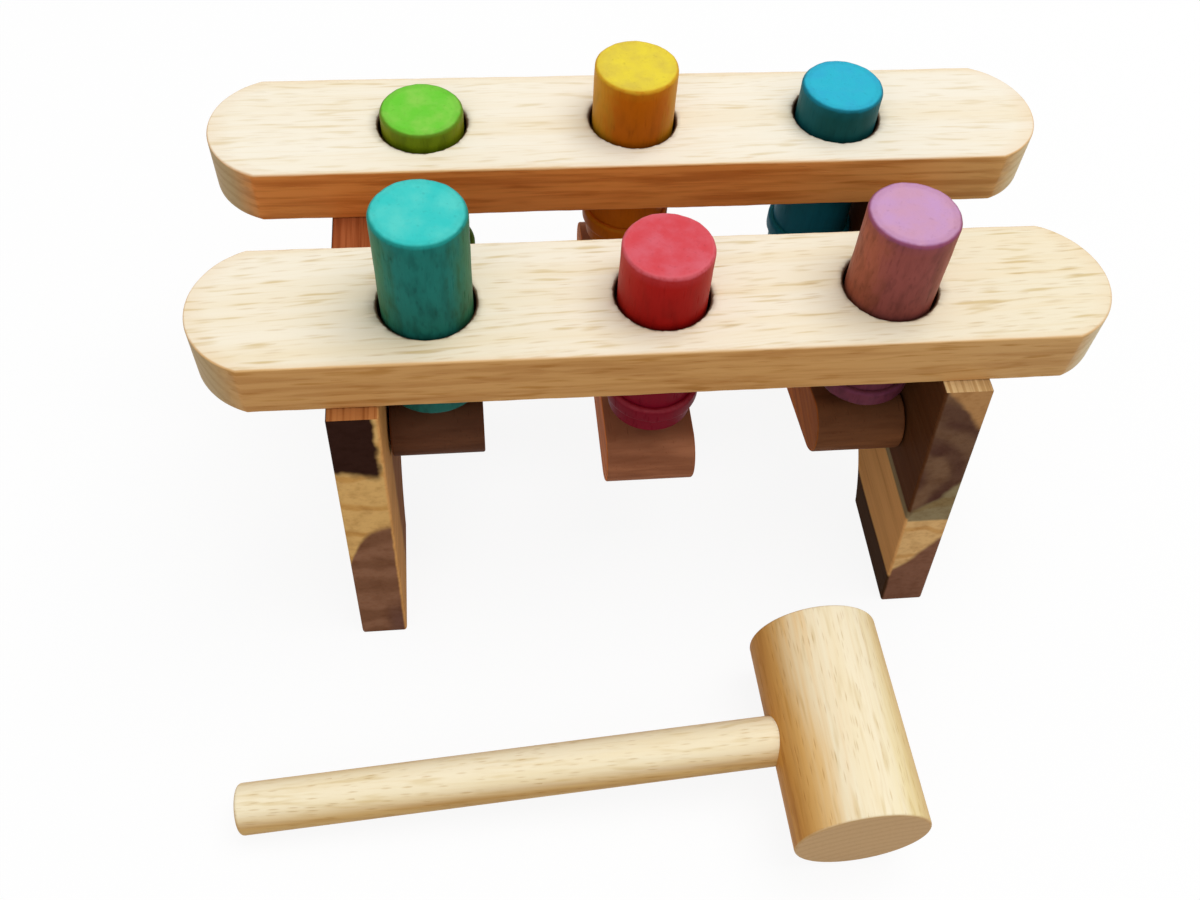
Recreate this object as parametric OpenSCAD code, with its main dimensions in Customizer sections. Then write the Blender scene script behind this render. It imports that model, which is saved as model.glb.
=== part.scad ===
// Peg pounding bench: pegs stand in pairs on three rockers that see-saw on one axle,
// so a peg that is struck down lifts its partner. A mallet lies in front of the bench.

/* [Rails] */
// Length of each peg rail, end to end
rail_length = 285; // [260:1:330]
// Width of each rail, front to back
rail_width = 48.5; // [42:0.5:51]
// Thickness of each rail
rail_thick = 19; // [15:0.5:24]
// Radius of the rounded rail ends, seen from above
rail_end_radius = 26; // [25.5:0.5:40]
// Rounding of the rail edges
rail_edge = 0.8; // [0.5:0.1:3]
// Distance between the centre lines of the two rails
rail_spacing = 82; // [76:0.5:100]
// How far each rail end reaches past its side panel
rail_overhang = 39.1; // [30:0.1:46]
// Height of the rail tops above the table
bench_height = 119; // [114:0.5:140]

/* [Pegs] */
// Diameter of a peg
peg_d = 28; // [24:0.5:30]
// Length of a peg, from its top to the tip of its foot
peg_length = 77; // [70:0.5:90]
// Gap all round a peg in its rail hole
peg_hole_gap = 0.9; // [0.4:0.05:1.4]
// Bevel at the mouths of the peg holes
peg_hole_bevel = 0.5; // [0.2:0.1:1.5]
// Rounding of the top edge of a peg
peg_edge = 1.2; // [0.4:0.1:3]
// Radius of the rounded tip of a peg's foot
foot_tip_radius = 5; // [3:0.5:8]
// Slope of the conical foot of a peg, in degrees
foot_slope = 28; // [27:0.5:36]

/* [Stop rings] */
// Wall of the ring that stops a peg under its rail
ring_wall = 1.7; // [1.6:0.1:4]
// Thickness of a ring
ring_thick = 6.4; // [4:0.2:8]
// Rounding of the outer edges of a ring
ring_edge = 1.5; // [0.4:0.1:1.6]
// Height of a high ring above the tip of its peg
ring_lift = 12.4; // [9:0.1:18]
// Height of a low ring above the tip of its peg
low_ring_lift = 7; // [6.9:0.1:12]

/* [Rockers] */
// Width of a rocker, along the axle
rocker_width = 30.5; // [24:0.5:32]
// Thickness of a rocker
rocker_thick = 20.5; // [16:0.5:26]
// Length of a rocker, nose to nose
rocker_length = 119; // [105:1:135]
// Rounding of the side edges of a rocker
rocker_edge = 0.7; // [0.4:0.1:2.5]
// Largest tilt of a rocker either way, in degrees
rock_limit = 24; // [20:0.5:25]
// Tilt of the left rocker at rest, front end up, in degrees
left_tilt = 19.5; // [-20:0.1:20]
// Tilt of the middle rocker at rest, front end up, in degrees
middle_tilt = -0.7; // [-20:0.1:20]
// Tilt of the right rocker at rest, front end up, in degrees
right_tilt = 11.4; // [-20:0.1:20]

/* [Axle and spacers] */
// Diameter of the axle dowel
axle_d = 8; // [6:0.5:10]
// Outer diameter of the spacer tubes
spacer_d = 18; // [14:0.5:20]

/* [Side panels] */
// Thickness of each side panel
panel_thick = 15.8; // [13:0.1:20]
// Rounding of the panel edges
panel_edge = 1; // [0.4:0.1:2.5]
// How far the panel tops stand out past the rail faces
panel_proud = 4.5; // [0:0.5:12]
// How far each foot reaches out past the panel top
foot_spread = 17.5; // [8:0.5:30]
// Width of the arch between the feet, at the table
arch_width = 84.5; // [60:0.5:96]
// Wood left between the arch and the axle hole
arch_wall = 18.4; // [14:0.2:24]

/* [Dowels] */
// Diameter of the dowels that join the rails to the panels
dowel_d = 8; // [6:0.5:10]
// Distance between the two dowels of a joint
dowel_pitch = 24; // [16:0.5:30]
// Depth of a dowel hole in the rail
dowel_in_rail = 12; // [8:0.5:13]
// Depth of a dowel hole in the panel
dowel_in_panel = 20; // [12:0.5:30]

/* [Mallet] */
// Diameter of the mallet head
mallet_head_d = 43.3; // [36:0.1:52]
// Length of the mallet head
mallet_head_length = 72; // [60:1:84]
// Rounding of the rims of the mallet head
mallet_head_edge = 0.9; // [0.5:0.1:4]
// Diameter of the handle
handle_d = 16.5; // [14:0.5:20]
// Length of the handle outside the head
handle_length = 172.5; // [140:0.5:180]
// Depth of the handle's seat in the head
handle_seat = 24; // [16:0.5:30]
// Rounding of the free end of the handle
handle_edge = 1.4; // [0.4:0.1:4]
// Place of the mallet head along the rails, from the middle of the bench
mallet_x = 53.1; // [0:0.1:80]
// Distance of the mallet head in front of the front rail
mallet_reach = 106.1; // [100:0.1:140]
// Turn of the mallet on the table, in degrees
mallet_turn = 1.7; // [-8:0.1:8]

/* [Clearances] */
// Running gap round the axle in a rocker
axle_gap = 0.08; // [0.02:0.01:0.1]
// Glue line round a dowel, an axle end, a ring or a handle in its seat
glue_gap = 0.05; // [0.02:0.01:0.1]
// Room left past the end of a dowel or handle in its hole
end_gap = 0.5; // [0.2:0.1:2]
// Side gap between a rocker and what stands beside it
side_gap = 0.4; // [0.2:0.05:1]
// Smallest gap between the foot of a peg and its rocker
run_gap = 0.3; // [0.2:0.05:1]
// Gap left between a high ring and its rail at the end of the tilt
stop_gap = 0.5; // [0.2:0.1:2]

/* [Hidden] */
$fn = 96;
over = 1;

// The rocker lifts a peg in step with its tilt, by this travel each way from level
arm = rail_spacing / 2;
peg_travel = arm * tan(rock_limit);

// Heights above the table, worked down from the rails to the axle
rail_under = bench_height - rail_thick;
ring_top_level = rail_under - stop_gap - peg_travel;
peg_tip_level = ring_top_level - ring_thick - ring_lift;
axle_depth = rocker_thick / 2;
rest_gap = (axle_depth + foot_tip_radius) * (1 / cos(rock_limit) - 1) + run_gap;
rocker_top_level = peg_tip_level - rest_gap;
axle_z = rocker_top_level - axle_depth;

peg_r = peg_d / 2;
ring_r = peg_r + ring_wall;
hole_r = peg_r + peg_hole_gap;
foot_tip_h = foot_tip_radius * (1 - cos(foot_slope));
foot_tip_r = foot_tip_radius * sin(foot_slope);
foot_height = foot_tip_h + (peg_r - foot_tip_r) * tan(foot_slope);

// The panels stand a rail overhang in from the rail ends, and the outer rings and rockers
// just inside the panels
panel_outer = rail_length / 2 - rail_overhang;
panel_mid = panel_outer - panel_thick / 2;
panel_inner = panel_outer - panel_thick;
peg_pitch = panel_inner - side_gap - max(ring_r, rocker_width / 2);
panel_top_half = arm + rail_width / 2 + panel_proud;
foot_half = panel_top_half + foot_spread;
foot_lean = atan(foot_spread / rail_under);
arch_height = axle_z - axle_d / 2 - glue_gap - arch_wall;
arch_radius = (pow(arch_width / 2, 2) + pow(arch_height, 2)) / (2 * arch_height);
arch_z = arch_height - arch_radius;

nose_r = rocker_thick / 2;
nose_y = rocker_length / 2 - nose_r;
spacer_length = peg_pitch - rocker_width - 2 * side_gap;
dowel_length = dowel_in_rail + dowel_in_panel - 2 * end_gap;

// The mallet lies on its head, and its handle droops until the free end meets the table
mallet_r = mallet_head_d / 2;
handle_reach = mallet_r + handle_length;
handle_droop = asin((mallet_r - handle_d / 2) / handle_reach);
mallet_half_y = (mallet_head_length / 2 - mallet_head_edge) * cos(mallet_turn)
  + (mallet_r - mallet_head_edge) * abs(sin(mallet_turn)) + mallet_head_edge;

// The bench is set back so that the bench and mallet together are centred on the origin
mallet_y_from_bench = -arm - mallet_reach;
bench_y = -(foot_half + mallet_y_from_bench - mallet_half_y) / 2;

pale_wood = "burlywood";
brown_wood = "sienna";
dark_wood = "saddlebrown";
teal_dye = "mediumturquoise";
red_dye = "indianred";
purple_dye = "plum";
green_dye = "yellowgreen";
yellow_dye = "gold";
blue_dye = "darkturquoise";

// How far a peg stands above its level place when its rocker is tilted
function peg_rise(tilt) = peg_travel * tilt / rock_limit;

// Rectangle with true round corners
module rounded_rect(w, h, r) {
  square([w - 2 * r, h], center = true);
  square([w, h - 2 * r], center = true);
  for (x = [-1, 1], y = [-1, 1])
    translate([x * (w / 2 - r), y * (h / 2 - r)]) circle(r);
}

// Disc on the Z axis, with rounded rims
module rounded_disc(r, h, edge) {
  rotate_extrude() {
    translate([0, -h / 2]) square([r - edge, h]);
    translate([0, edge - h / 2]) square([r, h - 2 * edge]);
    for (z = [-1, 1])
      translate([r - edge, z * (h / 2 - edge)]) circle(edge);
  }
}

// The bench's own middle, on the table
module on_bench() {
  translate([0, bench_y, 0]) children();
}

// The two dowels of a joint, under the rail's centre line
module at_dowels() {
  for (x = [-1, 1], y = [-1, 1])
    translate([x * panel_mid, y * dowel_pitch / 2, 0]) children();
}

// Peg hole with a small bevel at both mouths
module peg_hole() {
  mouth_r = hole_r + peg_hole_bevel;
  translate([0, 0, rail_under - over]) cylinder(h = rail_thick + 2 * over, r = hole_r);
  translate([0, 0, bench_height - peg_hole_bevel])
    cylinder(h = peg_hole_bevel + over, r1 = hole_r, r2 = mouth_r + over);
  translate([0, 0, rail_under - over])
    cylinder(h = peg_hole_bevel + over, r1 = mouth_r + over, r2 = hole_r);
}

// Rail along X: a rounded bar cut to wide arcs at its ends, drilled for pegs and dowels
module rail() {
  difference() {
    translate([0, 0, rail_under + rail_thick / 2]) intersection() {
      rotate([90, 0, 90]) linear_extrude(rail_length, center = true)
        rounded_rect(rail_width, rail_thick, rail_edge);
      union() {
        cube([rail_length - 2 * rail_end_radius, 2 * rail_width, rail_thick], center = true);
        for (s = [-1, 1])
          translate([s * (rail_length / 2 - rail_end_radius), 0, 0])
            rounded_disc(rail_end_radius, rail_thick, rail_edge);
      }
    }
    for (x = [-1, 0, 1]) translate([x * peg_pitch, 0, 0]) peg_hole();
    at_dowels() translate([0, 0, rail_under - over])
      cylinder(h = dowel_in_rail + over, d = dowel_d + 2 * glue_gap);
  }
}

// The four dowels under one rail
module rail_dowels() {
  at_dowels() translate([0, 0, rail_under - dowel_in_panel + end_gap])
    cylinder(h = dowel_length, d = dowel_d);
}

// Slab whose front face leans from the foot to the panel top, with rounded edges
module leaning_slab() {
  depth = 2 * foot_half + foot_spread;
  translate([0, -foot_half, 0]) rotate([-foot_lean, 0, 0])
    linear_extrude(3 * bench_height, center = true)
      translate([0, depth / 2]) rounded_rect(panel_thick, depth, panel_edge);
}

// Side panel: spread feet, an arch between them, and holes for the axle and the dowels
module side_panel() {
  difference() {
    intersection() {
      translate([0, 0, rail_under / 2]) rotate([90, 0, 0])
        linear_extrude(3 * foot_half, center = true)
          rounded_rect(panel_thick, rail_under, panel_edge);
      leaning_slab();
      mirror([0, 1, 0]) leaning_slab();
    }
    translate([0, 0, arch_z]) rotate([0, 90, 0]) {
      cylinder(h = panel_thick + 2 * over, r = arch_radius, center = true);
      for (s = [0, 1]) mirror([0, 0, s])
        translate([0, 0, panel_thick / 2 - panel_edge])
          cylinder(h = 2 * panel_edge, r1 = arch_radius, r2 = arch_radius + 2 * panel_edge);
    }
    translate([0, 0, axle_z]) rotate([0, 90, 0])
      cylinder(h = panel_thick + 2 * over, d = axle_d + 2 * glue_gap, center = true);
    for (y = [-1, 1], d = [-1, 1])
      translate([0, y * arm + d * dowel_pitch / 2, rail_under - dowel_in_panel])
        cylinder(h = dowel_in_panel + over, d = dowel_d + 2 * glue_gap);
  }
}

// Tube on the axle between two rockers
module spacer() {
  rotate([0, 90, 0]) difference() {
    cylinder(h = spacer_length, d = spacer_d, center = true);
    cylinder(h = spacer_length + 2 * over, d = axle_d + 2 * glue_gap, center = true);
  }
}

// Rocker about the axle: a flat bar with a round nose at each end
module rocker(tilt) {
  rotate([-tilt, 0, 0]) difference() {
    union() {
      rotate([90, 0, 0]) linear_extrude(2 * nose_y, center = true)
        rounded_rect(rocker_width, rocker_thick, rocker_edge);
      for (s = [-1, 1]) translate([0, s * nose_y, 0]) rotate([0, 90, 0])
        rounded_disc(nose_r, rocker_width, rocker_edge);
    }
    rotate([0, 90, 0])
      cylinder(h = rocker_width + 2 * over, d = axle_d + 2 * axle_gap, center = true);
  }
}

// Peg from the tip of its foot up: rounded tip, cone, shank and eased top
module peg() {
  rotate_extrude() {
    intersection() {
      translate([0, foot_tip_radius]) circle(foot_tip_radius);
      square([foot_tip_radius, foot_tip_h]);
    }
    polygon([[0, foot_tip_h], [foot_tip_r, foot_tip_h], [peg_r, foot_height], [0, foot_height]]);
    translate([0, foot_height]) square([peg_r, peg_length - foot_height - peg_edge]);
    translate([0, foot_height]) square([peg_r - peg_edge, peg_length - foot_height]);
    translate([peg_r - peg_edge, peg_length - peg_edge]) circle(peg_edge);
  }
}

// Ring glued round the shank of a peg
module stop_ring() {
  difference() {
    translate([0, 0, ring_thick / 2]) rounded_disc(ring_r, ring_thick, ring_edge);
    translate([0, 0, -over]) cylinder(h = ring_thick + 2 * over, r = peg_r + glue_gap);
  }
}

// Place of the tip of a peg: column -1 to 1 from the left, row -1 front and 1 rear
module at_peg(column, row, tilt) {
  on_bench() translate([column * peg_pitch, row * arm, peg_tip_level - row * peg_rise(tilt)])
    children();
}

// The mallet's own middle: head along Y, handle along -X
module on_mallet() {
  on_bench() translate([mallet_x, mallet_y_from_bench, mallet_r])
    rotate([0, -handle_droop, mallet_turn]) children();
}

module front_rail() {
  color(pale_wood) on_bench() translate([0, -arm, 0]) rail();
}

module rear_rail() {
  color(pale_wood) on_bench() translate([0, arm, 0]) rail();
}

module left_side_panel() {
  color(dark_wood) on_bench() translate([-panel_mid, 0, 0]) side_panel();
}

module right_side_panel() {
  color(dark_wood) on_bench() translate([panel_mid, 0, 0]) side_panel();
}

module rocker_axle() {
  color(pale_wood) on_bench() translate([0, 0, axle_z]) rotate([0, 90, 0])
    cylinder(h = 2 * panel_outer, d = axle_d, center = true);
}

module left_spacer() {
  color(pale_wood) on_bench() translate([-peg_pitch / 2, 0, axle_z]) spacer();
}

module right_spacer() {
  color(pale_wood) on_bench() translate([peg_pitch / 2, 0, axle_z]) spacer();
}

module front_rail_dowels() {
  color(pale_wood) on_bench() translate([0, -arm, 0]) rail_dowels();
}

module rear_rail_dowels() {
  color(pale_wood) on_bench() translate([0, arm, 0]) rail_dowels();
}

module left_rocker() {
  color(brown_wood) on_bench() translate([-peg_pitch, 0, axle_z]) rocker(left_tilt);
}

module middle_rocker() {
  color(brown_wood) on_bench() translate([0, 0, axle_z]) rocker(middle_tilt);
}

module right_rocker() {
  color(brown_wood) on_bench() translate([peg_pitch, 0, axle_z]) rocker(right_tilt);
}

module front_left_peg() {
  color(teal_dye) at_peg(-1, -1, left_tilt) peg();
}

module front_middle_peg() {
  color(red_dye) at_peg(0, -1, middle_tilt) peg();
}

module front_right_peg() {
  color(purple_dye) at_peg(1, -1, right_tilt) peg();
}

module rear_left_peg() {
  color(green_dye) at_peg(-1, 1, left_tilt) peg();
}

module rear_middle_peg() {
  color(yellow_dye) at_peg(0, 1, middle_tilt) peg();
}

module rear_right_peg() {
  color(blue_dye) at_peg(1, 1, right_tilt) peg();
}

module front_left_ring() {
  color(teal_dye) at_peg(-1, -1, left_tilt) translate([0, 0, low_ring_lift]) stop_ring();
}

module front_middle_ring() {
  color(red_dye) at_peg(0, -1, middle_tilt) translate([0, 0, ring_lift]) stop_ring();
}

module front_right_ring() {
  color(purple_dye) at_peg(1, -1, right_tilt) translate([0, 0, low_ring_lift]) stop_ring();
}

module rear_left_ring() {
  color(green_dye) at_peg(-1, 1, left_tilt) translate([0, 0, ring_lift]) stop_ring();
}

module rear_middle_ring() {
  color(yellow_dye) at_peg(0, 1, middle_tilt) translate([0, 0, ring_lift]) stop_ring();
}

module rear_right_ring() {
  color(blue_dye) at_peg(1, 1, right_tilt) translate([0, 0, ring_lift]) stop_ring();
}

module mallet_head() {
  color(pale_wood) on_mallet() difference() {
    rotate([90, 0, 0]) rounded_disc(mallet_r, mallet_head_length, mallet_head_edge);
    translate([handle_seat - mallet_r, 0, 0]) rotate([0, -90, 0])
      cylinder(h = handle_seat + over, d = handle_d + 2 * glue_gap);
  }
}

module mallet_handle() {
  color(pale_wood) on_mallet() translate([handle_seat - mallet_r - end_gap, 0, 0])
    rotate([0, -90, 0]) rotate_extrude() {
      full_length = handle_length + handle_seat - end_gap;
      square([handle_d / 2, full_length - handle_edge]);
      square([handle_d / 2 - handle_edge, full_length]);
      translate([handle_d / 2 - handle_edge, full_length - handle_edge]) circle(handle_edge);
    }
}

front_rail();
rear_rail();
left_side_panel();
right_side_panel();
rocker_axle();
left_spacer();
right_spacer();
front_rail_dowels();
rear_rail_dowels();
left_rocker();
middle_rocker();
right_rocker();
front_left_peg();
front_middle_peg();
front_right_peg();
rear_left_peg();
rear_middle_peg();
rear_right_peg();
front_left_ring();
front_middle_ring();
front_right_ring();
rear_left_ring();
rear_middle_ring();
rear_right_ring();
mallet_head();
mallet_handle();
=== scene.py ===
import math

import bmesh
import bpy
import numpy as np
from mathutils import Matrix, Vector


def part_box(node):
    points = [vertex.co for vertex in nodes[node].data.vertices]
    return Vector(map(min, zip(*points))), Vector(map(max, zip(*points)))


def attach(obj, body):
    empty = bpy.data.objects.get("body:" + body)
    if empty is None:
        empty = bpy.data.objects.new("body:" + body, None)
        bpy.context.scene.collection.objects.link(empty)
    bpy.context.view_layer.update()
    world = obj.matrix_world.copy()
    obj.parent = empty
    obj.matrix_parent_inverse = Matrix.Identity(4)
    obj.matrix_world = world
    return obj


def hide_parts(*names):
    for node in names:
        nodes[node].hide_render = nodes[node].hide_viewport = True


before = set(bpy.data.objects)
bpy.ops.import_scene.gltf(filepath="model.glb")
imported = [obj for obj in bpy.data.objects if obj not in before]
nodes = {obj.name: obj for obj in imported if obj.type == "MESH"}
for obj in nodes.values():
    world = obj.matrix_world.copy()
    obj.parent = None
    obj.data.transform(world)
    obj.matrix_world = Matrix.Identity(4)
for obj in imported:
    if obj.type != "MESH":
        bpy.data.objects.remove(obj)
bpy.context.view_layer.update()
print("frame loaded:", len(nodes), "nodes")


class Wire:
    # a shader socket that adds, multiplies and compares like a number
    def __init__(self, tree, socket):
        self.tree, self.socket = tree, socket

    def make(self, kind, settings=None, inputs=None, out=0):
        # adds any node: settings first (a ramp's stops among them), then its sockets
        node = self.tree.nodes.new(kind)
        for name, value in (settings or {}).items():
            if name == "stops":
                ramp = node.color_ramp
                while len(ramp.elements) < len(value):
                    ramp.elements.new(0.5)
                for element, (place, colour) in zip(ramp.elements, value):
                    element.position = place
                    element.color = (*colour, 1.0)
            else:
                setattr(node, name, value)
        for name, value in (inputs or {}).items():
            if isinstance(value, Wire):
                self.tree.links.new(value.socket, node.inputs[name])
            else:
                node.inputs[name].default_value = value
        return Wire(self.tree, node.outputs[out])

    def maths(self, operation, a, b=0.0, c=0.0):
        return self.make("ShaderNodeMath", {"operation": operation}, {0: a, 1: b, 2: c})

    def __add__(self, other):
        return self.maths("ADD", self, other)

    def __sub__(self, other):
        return self.maths("SUBTRACT", self, other)

    def __mul__(self, other):
        return self.maths("MULTIPLY", self, other)

    def __truediv__(self, other):
        return self.maths("DIVIDE", self, other)

    def __radd__(self, other):
        return self.maths("ADD", other, self)

    def __rsub__(self, other):
        return self.maths("SUBTRACT", other, self)

    def __rmul__(self, other):
        return self.maths("MULTIPLY", other, self)

    def __neg__(self):
        return self.maths("MULTIPLY", self, -1.0)

    def __abs__(self):
        return self.maths("ABSOLUTE", self)

    def orMore(self, other):
        return self.maths("MAXIMUM", self, other)

    def step(self, low, high):
        # smooth step from 0 at low to 1 at high
        return self.make("ShaderNodeMapRange", {"interpolation_type": "SMOOTHSTEP"},
                         {"Value": self, "From Min": low, "From Max": high})

    def mix(self, colourA, colourB):
        # colour A where this wire is 0, colour B where it is 1
        pair = [c if isinstance(c, Wire) else (*c, 1.0) for c in (colourA, colourB)]
        return self.make("ShaderNodeMix", {"data_type": "RGBA"},
                         {"Factor": self, 6: pair[0], 7: pair[1]}, out=2)

    def tint(self, colour):
        # this colour wire multiplied by a colour
        return self.make("ShaderNodeMix", {"data_type": "RGBA", "blend_type": "MULTIPLY"},
                         {"Factor": 1.0, 6: self, 7: (*colour, 1.0)}, out=2)

    def scaled(self, size, shift):
        return self.make("ShaderNodeMapping", None,
                         {"Vector": self, "Location": shift, "Scale": tuple(1.0 / s for s in size)})

    def noise(self, size, detail=2.0, rough=0.5, shift=(0.0, 0.0, 0.0)):
        # smooth noise whose features are about size metres along X, Y and Z
        return self.make("ShaderNodeTexNoise", None, {"Vector": self.scaled(size, shift), "Scale": 1.0,
                                                      "Detail": detail, "Roughness": rough})

    def dashes(self, size, shift=(0.0, 0.0, 0.0)):
        # distance to the nearest of scattered long cells, and a random share for each cell
        cell = self.make("ShaderNodeTexVoronoi", None,
                         {"Vector": self.scaled(size, shift), "Scale": 1.0, "Randomness": 1.0})
        chance = Wire(self.tree, cell.socket.node.outputs["Color"])
        return cell, chance.make("ShaderNodeSeparateColor", None, {"Color": chance})

    def mark(self, name):
        # a share painted on the piece's own points
        return self.make("ShaderNodeAttribute", {"attribute_name": name}, None, out=2)


def startMaterial(name):
    material = bpy.data.materials.new(name)
    material.use_nodes = True
    tree = material.node_tree
    tree.nodes.clear()
    output = tree.nodes.new("ShaderNodeOutputMaterial")
    shader = tree.nodes.new("ShaderNodeBsdfPrincipled")
    tree.links.new(shader.outputs["BSDF"], output.inputs["Surface"])
    coords = tree.nodes.new("ShaderNodeTexCoord")
    place = Wire(tree, coords.outputs["Object"])
    facing = Wire(tree, coords.outputs["Normal"])
    return material, shader, place, facing


def axisOf(wire, axis):
    return wire.make("ShaderNodeSeparateXYZ", None, {"Vector": wire}, out=axis)


def feed(shader, name, value):
    if isinstance(value, Wire):
        value.tree.links.new(value.socket, shader.inputs[name])
    else:
        shader.inputs[name].default_value = value


def bump(shader, height, distance):
    feed(shader, "Normal", height.make("ShaderNodeBump", None, {"Strength": 1.0, "Distance": distance,
                                                               "Height": height}))


def along(axis, length, width):
    size = [width, width, width]
    size[axis] = length
    return tuple(size)


def growthArcs(across, up, sway, heart, width):
    # arcs in the end grain: the sine of the distance to the heart of the tree, swayed a little
    across, up = across - heart[0], up - heart[1]
    squares = across * across + up * up
    wave = squares.maths("SQRT", squares) * (2.0 * math.pi / width) + sway * 5.0
    return wave.maths("SINE", wave)


# Pale open-pored hardwood of the rails and the mallet; sizes of marks are length and width in metres
paleWood = {
    "top": (0.92, 0.835, 0.675), "farTop": (0.87, 0.78, 0.585), "warm": (0.87, 0.74, 0.51),
    # side and farSide are painted shade: the walls are darker and more orange than the tops, over the wood's
    # own tone
    "side": (0.70, 0.37, 0.125), "farSide": (0.70, 0.40, 0.15),
    # litRightEnd is painted light: the right end of a rail is lit brighter than its left end
    "end": (0.50, 0.345, 0.16), "litRightEnd": (0.84, 0.70, 0.44),
    # bore is painted shade inside the bores and at their mouths
    "arris": (0.74, 0.42, 0.15), "bore": (0.09, 0.042, 0.02),
    "waverSize": (0.11, 0.022), "wander": 0.006, "slant": 0.045, "bandSize": (0.24, 0.008),
    "streakSize": (0.017, 0.0017), "streakTint": (0.74, 0.62, 0.37), "streakShare": 0.75,
    "fibreSize": (0.030, 0.0010), "fibreTint": (0.88, 0.79, 0.62), "fibreShare": 0.4,
    "layerSize": (0.055, 0.0024), "layerTint": (0.70, 0.56, 0.40), "layerShare": 0.5,
    "poreSize": (0.0095, 0.0010), "poreTint": (0.66, 0.50, 0.30), "poreShare": 0.35, "poreDepth": 0.00006,
    "heart": (0.075, 0.03), "ringWidth": 0.0042, "ringTint": (0.80, 0.70, 0.54), "ringShare": 0.5,
    "dotSize": 0.0009, "dotShare": 0.25, "roughness": 0.52, "gloss": 0.15, "bands": [],
}
rearWood = {
    **paleWood, "top": (0.925, 0.855, 0.71), "farTop": (0.90, 0.83, 0.69),
    # the rear rail's walls carry painted shade too, and its right end carries painted light
    "side": (0.83, 0.30, 0.066), "farSide": (0.76, 0.42, 0.14), "litRightEnd": (0.80, 0.62, 0.34),
    "slant": 0.02, "poreShare": 0.15, "streakShare": 0.5, "layerShare": 0.85,
}
malletWood = {
    **paleWood, "top": (0.935, 0.83, 0.60), "farTop": (0.935, 0.83, 0.60), "warm": (0.88, 0.72, 0.42),
    # the mallet's walls carry painted shade
    "side": (0.70, 0.44, 0.16), "farSide": (0.70, 0.44, 0.16),
    "end": (0.61, 0.37, 0.155), "litRightEnd": (0.61, 0.37, 0.155), "slant": 0.0,
    "poreSize": (0.006, 0.0007), "poreShare": 0.5, "streakShare": 0.45,
    "heart": (0.08, -0.05), "ringShare": 0.3,
}
headLow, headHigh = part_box("mallet_head")
headMiddle = (headLow[0] + headHigh[0]) / 2
headWood = {**malletWood, "bands": [  # orange on one side, partly heartwood and partly painted shade on the side turned from the light; yellower wood on the other
    {"from": headMiddle - 0.004, "to": headMiddle - 0.016, "tint": (0.90, 0.62, 0.27), "share": 0.9},
    {"from": headMiddle + 0.004, "to": headMiddle + 0.016, "tint": (0.97, 0.93, 0.70), "share": 0.9}]}


def paleWoodMaterial(name, axis, shift, spec):
    material, shader, place, facing = startMaterial(name)
    x, y, z = (axisOf(place, a) for a in range(3))
    waver = place.noise(along(axis, *spec["waverSize"]), 1.0, shift=shift)
    bend = y - x * spec["slant"] + (waver - 0.5) * spec["wander"]  # the grain slants and wanders
    grain = place if axis else place.make("ShaderNodeCombineXYZ", None, {"X": x, "Y": bend, "Z": z})
    bands = grain.noise(along(axis, *spec["bandSize"]), 3.0, 0.55, shift)
    streaks = grain.noise(along(axis, *spec["streakSize"]), 1.0, 0.5, shift[::-1])
    fibres = grain.noise(along(axis, *spec["fibreSize"]), 2.0, 0.5, shift)
    layers = grain.noise(along(axis, *spec["layerSize"]), 2.0, 0.5, shift)
    near, chance = grain.dashes(along(axis, *spec["poreSize"]), shift)
    dots = place.noise((spec["dotSize"],) * 3, 1.0, 0.5, shift)
    # painted light and shade: upward faces take the lit top colours, walls take the shaded side colours
    up = axisOf(facing, 2).step(0.25, 0.95)
    endGrain = abs(axisOf(facing, axis)).step(0.25, 0.75) * (1.0 - up)
    plain = 1.0 - endGrain
    pores = (1.0 - near.step(0.08, 0.48)) * chance.step(0.4, 0.9) * plain
    tone = bands.step(0.40, 0.75) * 0.6 + waver.step(0.45, 0.8) * 0.3
    flat = tone.mix(x.step(0.0, 0.12).mix(spec["top"], spec["farTop"]), spec["warm"])
    wall = x.step(0.02, 0.13).mix(spec["side"], spec["farSide"])
    wall = (layers.step(0.40, 0.66) * spec["layerShare"]).mix(wall, wall.tint(spec["layerTint"]))
    arcs = growthArcs(x if axis else y, z, waver - 0.5, spec["heart"], spec["ringWidth"])
    rings = arcs.step(-0.2, 1.0) * spec["ringShare"] + dots.step(0.55, 0.75) * spec["dotShare"]
    # painted light on the right end, end grain colour on the left
    ends = x.step(-0.05, 0.05).mix(spec["end"], spec["litRightEnd"])
    ends = rings.mix(ends, ends.tint(spec["ringTint"]))
    body = up.mix(endGrain.mix(wall, ends), flat)
    for band in spec["bands"]:
        share = (x + (waver - 0.5) * 0.02 + (layers - 0.5) * 0.012).step(band["from"], band["to"])
        body = (share * plain * band["share"]).mix(body, body.tint(band["tint"]))
    streaked = streaks.step(0.54, 0.78) * spec["streakShare"] * plain
    body = streaked.mix(body, body.tint(spec["streakTint"]))
    body = (fibres.step(0.46, 0.85) * spec["fibreShare"]).mix(body, body.tint(spec["fibreTint"]))
    body = (pores * spec["poreShare"]).mix(body, body.tint(spec["poreTint"]))
    body = (place.mark("arris") * (0.35 + waver.step(0.35, 0.7) * 0.5)).mix(body, spec["arris"])
    # painted shade in the bores and at their mouths
    feed(shader, "Base Color", place.mark("bore").step(0.2, 0.9).mix(body, spec["bore"]))
    feed(shader, "Roughness", spec["roughness"] + pores * 0.2)
    bump(shader, fibres * 0.4 - pores, spec["poreDepth"])
    feed(shader, "Specular IOR Level", spec["gloss"])
    return material


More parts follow.
